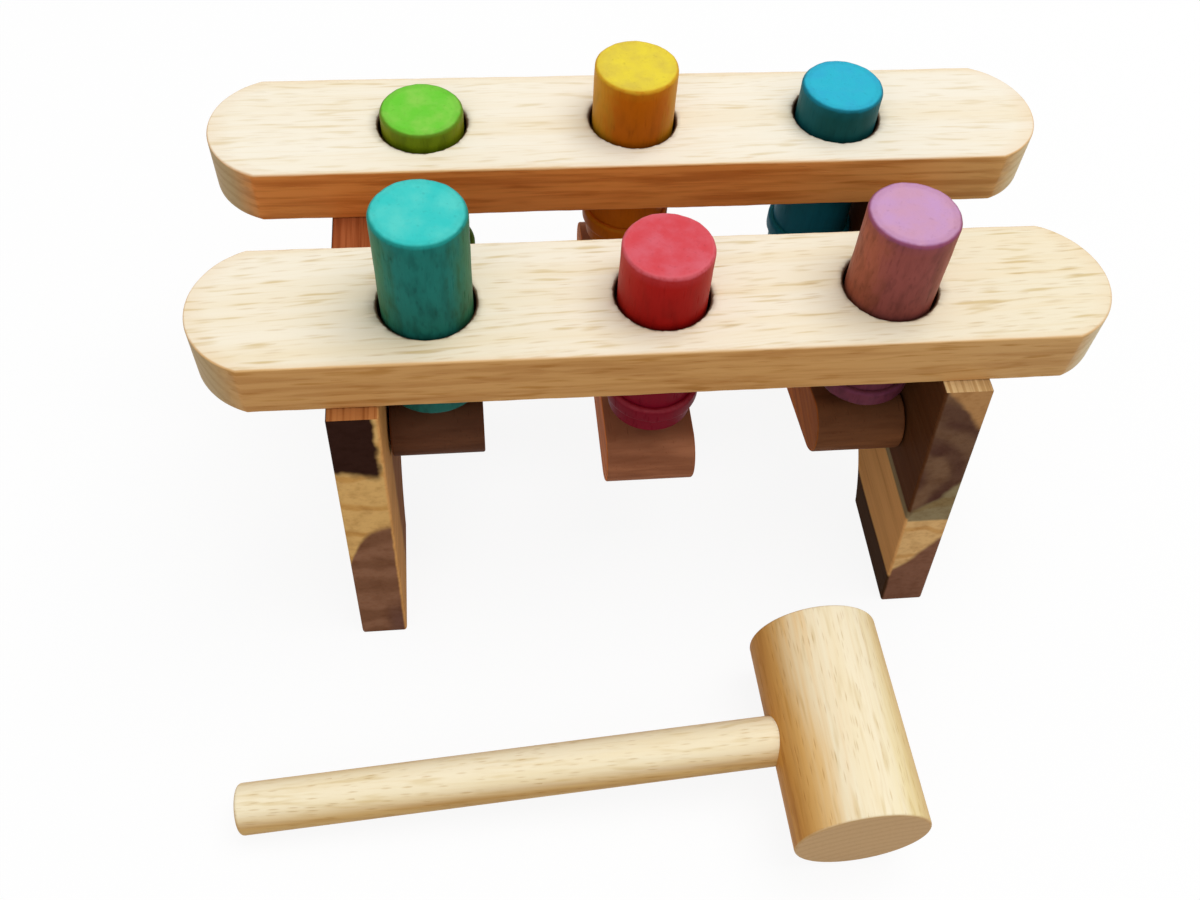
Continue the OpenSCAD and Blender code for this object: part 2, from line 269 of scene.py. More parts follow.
# Two-tone panels: brown and near black heartwood with pale sapwood, grain from front to back
panelWood = {
    "frontLean": 0.175, "ringWidth": 0.013, "jagSize": (0.0036, 0.03, 0.0036), "jag": 0.0022,
    "swaySize": (0.013, 0.06, 0.011), "sway": 0.008, "lineTint": (0.78, 0.64, 0.46), "lineShare": 0.7,
    "streakSize": (0.005, 0.10, 0.0035), "streakTint": (0.66, 0.56, 0.48), "streakShare": 0.45,
    "fibreSize": (0.0020, 0.030, 0.0012), "fibreTint": (0.70, 0.60, 0.50), "fibreShare": 0.4,
    "planedSize": (0.0013, 0.045, 0.02), "planedTint": (0.56, 0.42, 0.28), "planedShare": 0.7,
    "fibreDepth": 0.0001, "roughness": 0.6, "gloss": 0.02,
}
leftPanel = {  # a near black block over pale wood, and a brown foot under a curved edge
    "heart": (0.036, 0.0135, 0.009), "sap": (0.78, 0.47, 0.165), "brown": (0.225, 0.10, 0.052),
    "footLight": (0.295, 0.14, 0.078), "footShade": (0.15, 0.07, 0.055),
    # inner is painted shade on the inner face behind the pale strip, in the rocker's shadow
    "inner": (0.36, 0.145, 0.05), "strip": (0.78, 0.40, 0.135),
    # shadedTopBack is painted shade under the rear rail
    "top": (0.50, 0.20, 0.062), "shadedTopBack": (0.40, 0.115, 0.038),
    "footEdge": 0.055, "footDip": 0.0135, "dipPlace": 0.1015, "dipRate": -200.0,
    "darkEdge": 0.0769, "taper": 0.013, "swirlHeart": (-0.092, -0.012),
}
rightPanel = {  # brown over a grey-green wedge, a pale band and a brown foot, all with slanting edges
    "heart": (0.20, 0.108, 0.060), "swirl": (0.085, 0.034, 0.024), "grey": (0.30, 0.235, 0.125),
    "sap": (0.80, 0.50, 0.21), "foot": (0.25, 0.115, 0.07), "corner": (0.50, 0.26, 0.10),
    "innerSap": (0.80, 0.42, 0.15), "innerFoot": (0.065, 0.030, 0.013), "innerHeart": (0.105, 0.038, 0.0135),
    # shadedTopBack is painted shade under the rear rail
    "top": (0.78, 0.56, 0.28), "shadedTopBack": (0.60, 0.36, 0.15),
    "footEdge": (0.0165, 0.0885, 1.1), "wedgeEdge": (0.0457, 0.0895, 1.06), "paleTop": 0.042,
    "cornerEdge": (1.12, 0.1971), "innerEdges": (0.0125, 0.043, 0.046), "swirlHeight": 0.062,
}


def panelMaterial(name, node, side, shift, spec, tones):
    material, shader, place, facing = startMaterial(name)
    low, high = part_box(node)
    inner = min(abs(low[0]), abs(high[0]))
    x, y, z = (axisOf(place, a) for a in range(3))
    up = axisOf(facing, 2).step(0.6, 0.9)
    depth = x * side - inner  # into the board from its inner face
    behind = y - z * spec["frontLean"] - low[1]  # back from the leaning front edge
    jag = place.noise(spec["jagSize"], 1.0, 0.5, shift) - 0.5
    sway = place.noise(spec["swaySize"], 1.5, 0.5, shift) - 0.5
    fibres = place.noise(spec["fibreSize"], 2.0, 0.5, shift)
    streaks = place.noise(spec["streakSize"], 3.0, 0.55, shift)
    planed = place.noise(spec["planedSize"], 2.0, 0.5, shift)
    rough = jag * spec["jag"] + sway * spec["sway"]
    face = 1.0 - (depth + jag * 0.0006).step(0.0003, 0.0012)  # the skin of the inner face
    lines = growthArcs(x, z, sway, (side * (inner + 0.004), 0.105), spec["ringWidth"])
    if side < 0:
        taper = behind.step(0.01, 0.13) * tones["taper"]  # the pale band narrows towards the back
        fall = (x + tones["dipPlace"]) * tones["dipRate"]
        footEdge = tones["footEdge"] - tones["footDip"] * fall.maths("EXPONENT", fall) + taper
        pale = (z + rough * 0.5 - footEdge).step(-0.0014, 0.0016)
        dark = (z + rough * 0.9 + taper - tones["darkEdge"]).step(-0.0017, 0.0017)
        dark = dark * (depth + jag * 0.003).step(0.0008, 0.0028)
        swirl = growthArcs(x, z, sway * 1.6, tones["swirlHeart"], spec["ringWidth"]).step(-0.8, 0.9)
        body = pale.mix(swirl.mix(tones["brown"], tones["footLight"]), tones["sap"])
        body = dark.mix(body, tones["heart"])
        corner = (1.0 - (z + rough).step(0.006, 0.02)) * (1.0 - depth.step(0.003, 0.008))
        body = (corner * 0.7).mix(body, tones["footShade"])
        # painted shade: behind a pale front strip the inner face takes the dark inner colour
        strip = 1.0 - (behind + sway * 0.012).step(0.022, 0.03)
        skin = strip.mix(tones["inner"], tones["strip"])
    else:
        height, anchor, slope = tones["footEdge"]
        pale = (z + rough * 0.6 - height - (x - anchor) * slope).step(-0.0016, 0.0018)
        height, anchor, slope = tones["wedgeEdge"]
        dark = (z + rough - height - (x - anchor) * slope).step(-0.0015, 0.0015)
        grey = (z + rough * 0.25 - tones["paleTop"]).step(-0.0006, 0.0006)
        arcs = growthArcs(x, z, sway, (inner - 0.004, tones["swirlHeight"]), spec["ringWidth"])
        swirl = arcs.step(-0.9, 0.9) * 0.65 + (sway * 2.0 + 0.5).step(0.2, 0.8) * 0.35
        heart = swirl.mix(tones["heart"], tones["swirl"])
        body = pale.mix(tones["foot"], grey.mix(tones["sap"], dark.mix(tones["grey"], heart)))
        slope, reach = tones["cornerEdge"]
        corner = (z + x * slope + rough * 1.5 - reach).step(-0.0005, 0.0030)
        body = (corner * (1.0 - behind.step(0.012, 0.02))).mix(body, tones["corner"])
        footTop, oliveFrom, oliveTo = tones["innerEdges"]
        crown = (z + rough * 0.3 - oliveTo).step(-0.0005, 0.0005).mix(tones["grey"], tones["innerHeart"])
        crown = (z + rough * 0.3 - oliveFrom).step(-0.0005, 0.0005).mix(tones["innerSap"], crown)
        skin = (z + rough * 0.5 - footTop).step(-0.001, 0.001).mix(tones["innerFoot"], crown)
    body = face.mix(body, skin)
    # painted shade: the top darkens towards the back, under the rear rail
    lid = behind.step(0.02, 0.06).mix(tones["top"], tones["shadedTopBack"])
    lid = (planed.step(0.40, 0.66) * spec["planedShare"]).mix(lid, lid.tint(spec["planedTint"]))
    body = up.mix(body, lid)
    lined = lines.step(0.55, 1.0) * pale * (1.0 - dark) * (1.0 - face) * spec["lineShare"]
    body = lined.mix(body, body.tint(spec["lineTint"]))
    body = (streaks.step(0.42, 0.72) * spec["streakShare"]).mix(body, body.tint(spec["streakTint"]))
    body = (fibres.step(0.45, 0.8) * spec["fibreShare"]).mix(body, body.tint(spec["fibreTint"]))
    feed(shader, "Base Color", body)
    feed(shader, "Roughness", spec["roughness"] + fibres * 0.15)
    bump(shader, fibres, spec["fibreDepth"])
    feed(shader, "Specular IOR Level", spec["gloss"])
    return material


# Brown rockers: growth layers lie flat in each one and follow its tilt at rest, in degrees
rockerWood = {
    # litFlankTint is painted light on the faces turned left and right
    "litFlankTint": (2.1, 1.6, 0.72), "layerSize": (0.045, 0.12, 0.0034), "blotchSize": (0.024, 0.03, 0.006),
    "fibreSize": (0.010, 0.020, 0.0009), "poreSize": (0.0009, 0.007, 0.0009), "fibreTint": (0.60, 0.50, 0.42),
    "fibreShare": 0.35, "poreShare": 0.3, "poreDepth": 0.00006, "roughness": 0.55, "gloss": 0.03,
}
rockerTones = {
    # the left rocker's darker tones are painted shade from the rail over it
    "left": {"light": (0.15, 0.060, 0.030), "dark": (0.095, 0.036, 0.018), "tilt": 19.5},
    "middle": {"light": (0.49, 0.195, 0.095), "dark": (0.29, 0.105, 0.050), "tilt": -0.7},
    "right": {"light": (0.29, 0.115, 0.045), "dark": (0.16, 0.06, 0.025), "tilt": 11.4},
}


def rockerMaterial(name, shift, spec, tones):
    material, shader, place, facing = startMaterial(name)
    # painted light: faces turned left and right are tinted brighter and more orange
    litFlank = abs(axisOf(facing, 0)).step(0.5, 0.9)
    x, y, z = (axisOf(place, a) for a in range(3))
    tilt = math.radians(tones["tilt"])
    level = place.make("ShaderNodeCombineXYZ", None, {
        "X": x, "Y": y * math.cos(tilt) + z * math.sin(tilt), "Z": z * math.cos(tilt) - y * math.sin(tilt)})
    layers = level.noise(spec["layerSize"], 3.0, 0.5, shift)
    blotch = level.noise(spec["blotchSize"], 2.0, 0.5, shift[::-1])
    fibres = level.noise(spec["fibreSize"], 2.0, 0.55, shift)
    near, chance = level.dashes(spec["poreSize"], shift)
    pores = (1.0 - near.step(0.1, 0.4)) * chance.step(0.6, 0.9)
    tone = layers.step(0.32, 0.7) * 0.7 + blotch.step(0.4, 0.7) * 0.3
    body = tone.mix(tones["dark"], tones["light"])
    body = litFlank.mix(body, body.tint(spec["litFlankTint"]))
    marks = fibres.step(0.42, 0.8) * spec["fibreShare"] + pores * spec["poreShare"]
    feed(shader, "Base Color", marks.mix(body, body.tint(spec["fibreTint"])))
    feed(shader, "Roughness", spec["roughness"] + pores * 0.15)
    bump(shader, fibres - pores, spec["poreDepth"])
    feed(shader, "Specular IOR Level", spec["gloss"])
    return material


# Dyed pegs and rings: bright end grain on top as painted light, deeper sides as painted shade, over the dye,
# with the grain running down
# In each dye litFlank is painted light from the rails; low and ring colour the parts under the rails as they
# look in the rails' shade, painted shade that is darker for most dyes
dyes = {
    "teal_dye": {
        "top": (0.042, 0.575, 0.54), "cloud": (0.095, 0.63, 0.57), "rim": (0.016, 0.30, 0.27),
        "side": (0.018, 0.20, 0.165), "litFlank": (0.045, 0.20, 0.090), "low": (0.016, 0.138, 0.114),
        "ring": (0.016, 0.168, 0.114), "mottle": 0.9},
    "red_dye": {
        "top": (0.66, 0.064, 0.080), "cloud": (0.68, 0.12, 0.155), "rim": (0.70, 0.14, 0.17),
        "side": (0.44, 0.010, 0.008), "litFlank": (0.52, 0.020, 0.013), "low": (0.216, 0.005, 0.018),
        "ring": (0.240, 0.005, 0.017), "mottle": 0.3},
    "purple_dye": {
        "top": (0.60, 0.32, 0.46), "cloud": (0.57, 0.32, 0.56), "rim": (0.25, 0.065, 0.16),
        "side": (0.32, 0.085, 0.072), "litFlank": (0.46, 0.13, 0.070), "low": (0.156, 0.036, 0.060),
        "ring": (0.144, 0.036, 0.051), "mottle": 0.8},
    "green_dye": {
        "top": (0.15, 0.60, 0.040), "cloud": (0.27, 0.62, 0.085), "rim": (0.11, 0.24, 0.018),
        "side": (0.19, 0.29, 0.006), "litFlank": (0.29, 0.34, 0.012), "low": (0.10, 0.24, 0.014),
        "ring": (0.10, 0.19, 0.006), "mottle": 0.7},
    "yellow_dye": {
        "top": (0.82, 0.66, 0.050), "cloud": (0.70, 0.54, 0.065), "rim": (0.66, 0.40, 0.025),
        "side": (0.56, 0.14, 0.003), "litFlank": (0.70, 0.32, 0.018), "low": (0.624, 0.173, 0.007),
        "ring": (0.600, 0.151, 0.007), "mottle": 0.3},
    "blue_dye": {
        "top": (0.028, 0.47, 0.62), "cloud": (0.032, 0.42, 0.62), "rim": (0.010, 0.20, 0.29),
        "side": (0.008, 0.100, 0.105), "litFlank": (0.012, 0.145, 0.17), "low": (0.010, 0.17, 0.26),
        "ring": (0.012, 0.20, 0.25), "mottle": 0.3},
}
dyeFinish = {
    "cloudSize": (0.008, 0.008, 0.012), "fraySize": (0.0018, 0.0018, 0.0018), "rimShare": 0.75,
    "mottleSize": (0.0030, 0.0030, 0.0080), "mottleTint": (0.58, 0.60, 0.60),
    "speckSize": (0.0014, 0.0014, 0.0032), "speckTint": (0.62, 0.56, 0.56), "speckShare": 0.3,
    "fibreSize": (0.0009, 0.0009, 0.014), "fibreShare": 0.22,
    "poreSize": (0.0010, 0.0010, 0.0060), "poreTint": (0.48, 0.46, 0.46), "poreShare": 0.18,
    "poreDepth": 0.00005, "roughness": 0.42, "gloss": 0.05,
    # railShade is painted shade on the shank near the rail
    "railShadeTint": (0.62, 0.58, 0.55), "railShadeLow": 0.095, "railShadeFrom": 0.12, "railShadeTo": 0.139,
    "lowFrom": 0.088, "lowTo": 0.1,
}


def dyeMaterial(name, top, tones, finish, shift):
    material, shader, place, facing = startMaterial(name)
    cloud = place.noise(finish["cloudSize"], 3.0, 0.55, shift)
    mottle = place.noise(finish["mottleSize"], 2.0, 0.5, shift)
    fray = place.noise(finish["fraySize"], 2.0, 0.5, shift) - 0.5
    fibres = place.noise(finish["fibreSize"], 2.0, 0.55, shift)
    specks = place.noise(finish["speckSize"], 1.0, 0.5, shift[::-1])
    near, chance = place.dashes(finish["poreSize"], shift)
    pores = (1.0 - near.step(0.10, 0.46)) * chance.step(0.55, 0.9)
    height = axisOf(place, 2)
    # painted light and shade: upward faces take the lit top colours, the sides take the shaded side colours
    up = (axisOf(facing, 2) + fray * 0.06).step(0.72, 0.97)
    sides = 1.0 - up
    # painted light: faces turned left and right take the litFlank colour, for light bounced and reflected
    # from the rails
    litFlank = (abs(axisOf(facing, 0)) + (mottle - 0.5) * 0.5).step(0.45, 1.0)
    shank = litFlank.mix(tones["side"], tones["litFlank"])
    # painted shade: below the rail the shank takes the low colour, as it looks in the rail's shade
    shank = height.step(finish["lowFrom"], finish["lowTo"]).mix(tones["low"], shank)
    body = up.mix(shank, cloud.step(0.32, 0.74).mix(top, tones["cloud"]))
    specked = specks.step(0.60, 0.82) * up * finish["speckShare"]
    body = specked.mix(body, body.tint(finish["speckTint"]))
    blots = (mottle.step(0.42, 0.72) * 0.75 + specks.step(0.58, 0.74) * 0.45) * tones["mottle"]
    body = (blots * sides).mix(body, body.tint(finish["mottleTint"]))
    above = 1.0 - height.step(finish["railShadeFrom"], finish["railShadeTo"])
    railShade = height.step(finish["railShadeLow"], finish["railShadeFrom"]) * above * sides  # painted shade: darker in a band where the shank meets the rail
    body = (railShade * (0.5 + mottle * 0.5)).mix(body, body.tint(finish["railShadeTint"]))
    grain = pores * finish["poreShare"] + fibres.step(0.48, 0.82) * finish["fibreShare"]
    body = (grain * sides).mix(body, body.tint(finish["poreTint"]))
    rim = place.mark("arris") * ((fray + 0.5).step(0.2, 0.6) * 0.5 + 0.5) * finish["rimShare"]
    feed(shader, "Base Color", rim.mix(body, tones["rim"]))
    feed(shader, "Roughness", finish["roughness"] + pores * 0.2)
    bump(shader, fibres * 0.3 - pores, finish["poreDepth"])
    feed(shader, "Specular IOR Level", finish["gloss"])
    return material


materials = {
    "front_rail": paleWoodMaterial("frontRailWood", 0, (0.0, 0.3, 0.7), paleWood),
    "rear_rail": paleWoodMaterial("rearRailWood", 0, (3.1, 1.2, 0.4), rearWood),
    "mallet_head": paleWoodMaterial("malletHeadWood", 1, (5.3, 2.2, 1.1), headWood),
    "mallet_handle": paleWoodMaterial("malletHandleWood", 0, (1.3, 4.2, 2.5), malletWood),
    "left_side_panel": panelMaterial("leftPanelWood", "left_side_panel", -1.0, (0.0, 0.0, 0.0),
                                     panelWood, leftPanel),
    "right_side_panel": panelMaterial("rightPanelWood", "right_side_panel", 1.0, (4.0, 1.0, 2.0),
                                      panelWood, rightPanel),
}
axleWood = paleWoodMaterial("axleWood", 0, (2.7, 0.9, 3.3), paleWood)
for name in ("rocker_axle", "left_spacer", "right_spacer", "front_rail_dowels", "rear_rail_dowels"):
    materials[name] = axleWood
for step, column in enumerate(("left", "middle", "right")):
    materials[column + "_rocker"] = rockerMaterial(column + "RockerWood", (step * 2.3, 0.4, step * 1.1),
                                                   rockerWood, rockerTones[column])
pegDyes = {"front_left": "teal_dye", "front_middle": "red_dye", "front_right": "purple_dye",
           "rear_left": "green_dye", "rear_middle": "yellow_dye", "rear_right": "blue_dye"}
for step, (peg, dye) in enumerate(pegDyes.items()):
    tones, shift = dyes[dye], (step * 1.7, step * 0.6, 0.3)
    materials[peg + "_peg"] = dyeMaterial(dye + "Peg", tones["top"], tones, dyeFinish, shift)
    # painted shade: the rings take the deep ring colour on top too, as they lie under the rails
    ringTones = {**tones, "cloud": tones["ring"]}
    materials[peg + "_ring"] = dyeMaterial(dye + "Ring", tones["ring"], ringTones, dyeFinish, shift)
for name, node in nodes.items():
    node.data.materials.clear()
    node.data.materials.append(materials[name])
print("materials set on", len(materials), "nodes")


def ripple(u, waves):
    # sum of sines along u: each wave is a share, a rate and a phase
    return sum(share * np.sin(rate * u + phase) for share, rate, phase in waves)


def weave(points, keep):
    # quads between neighbouring rows and columns of a grid, whose columns close on themselves
    rows, columns = points.shape[:2]
    row, column = np.meshgrid(np.arange(keep.shape[0]), np.arange(columns), indexing="ij")
    nextRow, nextColumn = (row + 1) % rows, (column + 1) % columns
    quads = np.stack([row * columns + column, row * columns + nextColumn,
                      nextRow * columns + nextColumn, nextRow * columns + column], axis=-1)
    return quads[keep]


def layPiece(name, grids, body, sharp=35.0):
    # joins grids of points, quads and painted shares into one closed piece
    points, quads, marks, start = [], [], {}, 0
    for grid, grown, painted in grids:
        used, index = np.unique(grown, return_inverse=True)
        points.append(grid.reshape(-1, 3)[used])
        quads.append(index.reshape(-1, 4) + start)
        start += len(used)
        for mark, values in painted.items():
            marks.setdefault(mark, []).append(values.reshape(-1)[used])
    mesh = bpy.data.meshes.new(name)
    mesh.from_pydata(np.concatenate(points).tolist(), [], np.concatenate(quads).tolist())
    for mark, values in marks.items():
        layer = mesh.attributes.new(mark, "FLOAT", "POINT")
        layer.data.foreach_set("value", np.concatenate(values).astype(np.float32))
    shell = bmesh.new()
    shell.from_mesh(mesh)
    bmesh.ops.remove_doubles(shell, verts=shell.verts, dist=1e-6)
    bmesh.ops.dissolve_degenerate(shell, edges=shell.edges, dist=1e-7)
    bmesh.ops.recalc_face_normals(shell, faces=shell.faces)
    shell.to_mesh(mesh)
    shell.free()
    mesh.shade_smooth()
    mesh.set_sharp_from_angle(angle=math.radians(sharp))
    piece = bpy.data.objects.new(name, mesh)
    bpy.context.scene.collection.objects.link(piece)
    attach(piece, body)
    return piece


# Rails: a bar with arc ends and three bores, its edges eased by hand
railShape = {
    "edge": 0.0008, "edgeWander": 0.3, "endRadius": 0.026, "boreGap": 0.0009, "mouth": 0.0006,
    "tear": 0.00022, "sideSteps": 44, "arcSteps": 40, "openSteps": 16,
    "edgeWaves": [(0.5, 61.0, 0.4), (0.35, 143.0, 1.9), (0.3, 317.0, 0.7), (0.2, 811.0, 2.2)],
    "tearWaves": [(0.5, 3, 0.3), (0.4, 7, 1.2), (0.45, 17, 2.6), (0.4, 31, 0.9), (0.35, 47, 4.0)],
}


def railThird(side, half, wide, reach, spec):
    # outline of one third about its bore: long sides, an arc at a rail end, and open lines
    # where the next third joins on; with the outward normals, and which steps have a wall
    across = np.linspace(0.0, 1.0, spec["sideSteps"], endpoint=False)
    openStep = np.linspace(1.0, -1.0, spec["openSteps"], endpoint=False)
    radius = spec["endRadius"]
    turn = math.asin(wide / radius)
    far = half if side == 0 else reach - radius + radius * math.cos(turn)
    low = np.stack([-half + across * (far + half), np.full_like(across, -wide)], axis=1)
    high = np.stack([far - across * (far + half), np.full_like(across, wide)], axis=1)
    left = np.stack([np.full_like(openStep, -half), openStep * wide], axis=1)
    down, upward = np.tile((0.0, -1.0), (len(across), 1)), np.tile((0.0, 1.0), (len(across), 1))
    still = np.zeros((len(openStep), 2))
    leftNormal, rightNormal = still.copy(), still.copy()
    leftNormal[0], rightNormal[0] = (0.0, 1.0), (0.0, -1.0)  # a corner still eases with its long side
    if side == 0:
        end, endNormal = np.stack([np.full_like(openStep, half), -openStep * wide], axis=1), rightNormal
    else:
        angle = np.linspace(-turn, turn, spec["arcSteps"], endpoint=False)
        endNormal = np.stack([np.cos(angle), np.sin(angle)], axis=1)
        end = endNormal * radius + (reach - radius, 0.0)
        share = 1.0 / (1.0 + math.sin(turn))  # mitre where the arc meets a long side
        endNormal[0] = (endNormal[0] + (0.0, -1.0)) * share
        upward[0] = (np.array((math.cos(turn), math.sin(turn))) + (0.0, 1.0)) * share
    outline = np.concatenate([low, end, high, left])
    normals = np.concatenate([down, endNormal, upward, leftNormal])
    walled = np.concatenate([np.ones(len(low)), np.full(len(end), side != 0),
                             np.ones(len(high)), np.zeros(len(left))])
    return outline, normals, walled.astype(bool)


def railPiece(name, node, pegs, phase, spec):
    low, high = (np.array(corner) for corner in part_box(node))
    middle, wide, reach = (low + high) / 2, (high[1] - low[1]) / 2, (high[0] - low[0]) / 2
    boxes = [[np.array(corner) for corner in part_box(peg)] for peg in pegs]
    centres = [(a[0] + b[0]) / 2 for a, b in boxes]
    bore = (boxes[0][1][0] - boxes[0][0][0]) / 2 + spec["boreGap"]
    half = (centres[2] - centres[1]) / 2
    grids = []
    for side, centre in zip((-1, 0, 1), centres):
        outline, normals, walled = railThird(side, half, wide, reach - abs(centre), spec)
        mirror = np.array((side or 1, 1))
        outline, normals = outline * mirror, normals * mirror
        wander = ripple(outline[:, 0] + centre + phase, spec["edgeWaves"])
        edge = spec["edge"] * (1.0 + spec["edgeWander"] * wander)
        resting = np.abs(normals).sum(axis=1) == 0  # steps along an open line
        outline[resting, 1] *= (wide - edge[resting]) / wide
        inner = outline - normals * edge[:, None]
        angle = np.arctan2(inner[:, 1], inner[:, 0])
        ray = np.stack([np.cos(angle), np.sin(angle)], axis=1)
        torn = ripple(angle + centre * 50 + phase, spec["tearWaves"])
        mouth = spec["mouth"] + spec["tear"] * (1.0 + torn)
        rim, wallRim = ray * (bore + mouth)[:, None], ray * bore

        def row(flat, height):
            level = np.broadcast_to(height, (len(flat),))
            return np.column_stack([flat + (centre, middle[1]), level])

        under, top = low[2], high[2]
        share = np.linspace(0.0, 1.0, 9)
        bends = np.linspace(0.0, math.pi / 2, 7)
        rows, bores, arrises = [], [], []
        for s in share:  # top face, from the bore's mouth out to the edge
            flat = rim * (1.0 - s) + inner * s
            rows.append(row(flat, top))
            bores.append(0.45 if s == 0 else 0.0)
            arrises.append(np.where(resting, 0.0, 0.25 * (s == 1)))
        for a in bends[1:]:  # eased edge over the top
            eased = inner + normals * (edge * math.sin(a))[:, None]
            rows.append(row(eased, top - edge * (1.0 - math.cos(a))))
            bores.append(0.0)
            arrises.append(math.sin(2.0 * a))
        for s in (0.25, 0.5, 0.75):  # wall
            rows.append(row(outline, top - edge + (under - top + 2.0 * edge) * s))
            bores.append(0.0)
            arrises.append(0.0)
        for a in bends[:0:-1]:  # eased edge under
            eased = inner + normals * (edge * math.sin(a))[:, None]
            rows.append(row(eased, under + edge * (1.0 - math.cos(a))))
            bores.append(0.0)
            arrises.append(math.sin(2.0 * a) * 0.5)
        first, last = len(share) - 1, len(rows)
        for s in share[::-1]:  # underside, back to the bore
            rows.append(row(rim * (1.0 - s) + inner * s, under))
            bores.append(0.45 if s == 0 else 0.0)
            arrises.append(0.0)
        for s in np.linspace(0.0, 1.0, 6):  # bore
            rows.append(row(wallRim, under + spec["mouth"] + (top - under - 2.0 * spec["mouth"]) * s))
            bores.append(1.0)
            arrises.append(0.0)
        points = np.stack(rows)
        keep = np.ones(points.shape[:2], dtype=bool)
        keep[first:last] = walled
        paint = {"bore": np.stack([np.broadcast_to(b, (len(inner),)) for b in bores]),
                 "arris": np.stack([np.broadcast_to(a, (len(inner),)) for a in arrises])}
        grids.append((points, weave(points, keep), paint))
    piece = layPiece(name, grids, "frame")
    piece.data.materials.append(materials[node])
    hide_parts(node)


frontPegs = ["front_left_peg", "front_middle_peg", "front_right_peg"]
rearPegs = ["rear_left_peg", "rear_middle_peg", "rear_right_peg"]
railPiece("frontRailBar", "front_rail", frontPegs, 0.3, railShape)
railPiece("rearRailBar", "rear_rail", rearPegs, 1.7, railShape)
print("rails shaped")

# Pegs: turned dowels with a cone foot and a hammered top; rings: short sleeves glued on them
pegShape = {
    "edge": 0.0013, "edgeWander": 0.16, "tip": 0.005, "slope": math.radians(28.0), "dent": 0.00011,
    "waver": 0.00006, "waverRate": 260.0, "waverWaves": [(0.5, 1, 0.0), (0.5, 2, 1.0)], "around": 120,
    "edgeWaves": [(0.5, 2, 0.4), (0.4, 5, 1.9), (0.35, 11, 0.7), (0.3, 23, 2.2)],
    "dentWaves": [(0.6, 410.0, 0.2), (0.5, 730.0, 1.4), (0.3, 1310.0, 3.0)],
}
ringShape = {"edge": 0.0015, "edgeWander": 0.2, "gap": 0.00005}


def turned(centre, radius, height, theta):
    # a profile of radii and heights carried round an upright axis
    return np.stack([centre[0] + radius * np.cos(theta), centre[1] + radius * np.sin(theta),
                     np.broadcast_to(height, radius.shape)], axis=-1)


def pegPiece(name, node, body, phase, spec):
    low, high = (np.array(corner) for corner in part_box(node))
    centre, radius, foot, top = (low + high) / 2, (high[0] - low[0]) / 2, low[2], high[2]
    theta = np.linspace(0.0, 2.0 * math.pi, spec["around"], endpoint=False)[None, :]
    around = np.ones_like(theta)
    tipTurn = np.linspace(0.0, spec["slope"], 5)[:, None]
    tipRise = spec["tip"] * (1.0 - math.cos(spec["slope"]))
    tipOut = spec["tip"] * math.sin(spec["slope"])
    shoulder = tipRise + (radius - tipOut) * math.tan(spec["slope"])
    edge = spec["edge"] * (1.0 + spec["edgeWander"] * ripple(theta + phase, spec["edgeWaves"]))
    bend = np.linspace(0.0, math.pi / 2, 8)[:, None]
    rise = np.linspace(0.0, 1.0, 24)[:, None]
    shank = foot + shoulder + (top - spec["edge"] - foot - shoulder) * rise * around
    shank[-1] = top - edge[0]
    waver = spec["waver"] * (1.0 + ripple(theta * 3 + shank * spec["waverRate"] + phase, spec["waverWaves"]))
    inward = np.linspace(0.0, 1.0, 14)[1:, None]
    flatR = (radius - edge) * (1.0 - inward)
    flatX, flatY = flatR * np.cos(theta + phase), flatR * np.sin(theta + phase)
    dents = ripple(flatX, spec["dentWaves"]) + ripple(flatY, spec["dentWaves"][::-1])
    flatZ = top - spec["dent"] * np.clip(1.0 + dents, 0.0, 2.4) * np.minimum(1.0, inward * 3.0)
    flatZ[-1] = flatZ[-1].mean()
    rim = radius - edge * (1.0 - np.cos(bend[1:])) - waver[-1]
    radii = np.concatenate([spec["tip"] * np.sin(tipTurn) * around, radius * around - waver * (rise > 0),
                            rim, flatR - waver[-1] * (1.0 - inward)])
    heights = np.concatenate([foot + spec["tip"] * (1.0 - np.cos(tipTurn)) * around, shank,
                              top - edge * (1.0 - np.sin(bend[1:])), flatZ])
    points = turned(centre, radii, heights, theta)
    arris = np.zeros(points.shape[:2])
    eased = len(tipTurn) + len(rise)
    arris[eased - 1:eased + 7] = np.sin(np.linspace(0.2, 2.9, 8))[:, None]
    arris[eased + 7] = 0.2
    keep = np.ones((points.shape[0] - 1, points.shape[1]), dtype=bool)
    piece = layPiece(name, [(points, weave(points, keep), {"arris": arris})], body)
    piece.data.materials.append(materials[node])
    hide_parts(node)


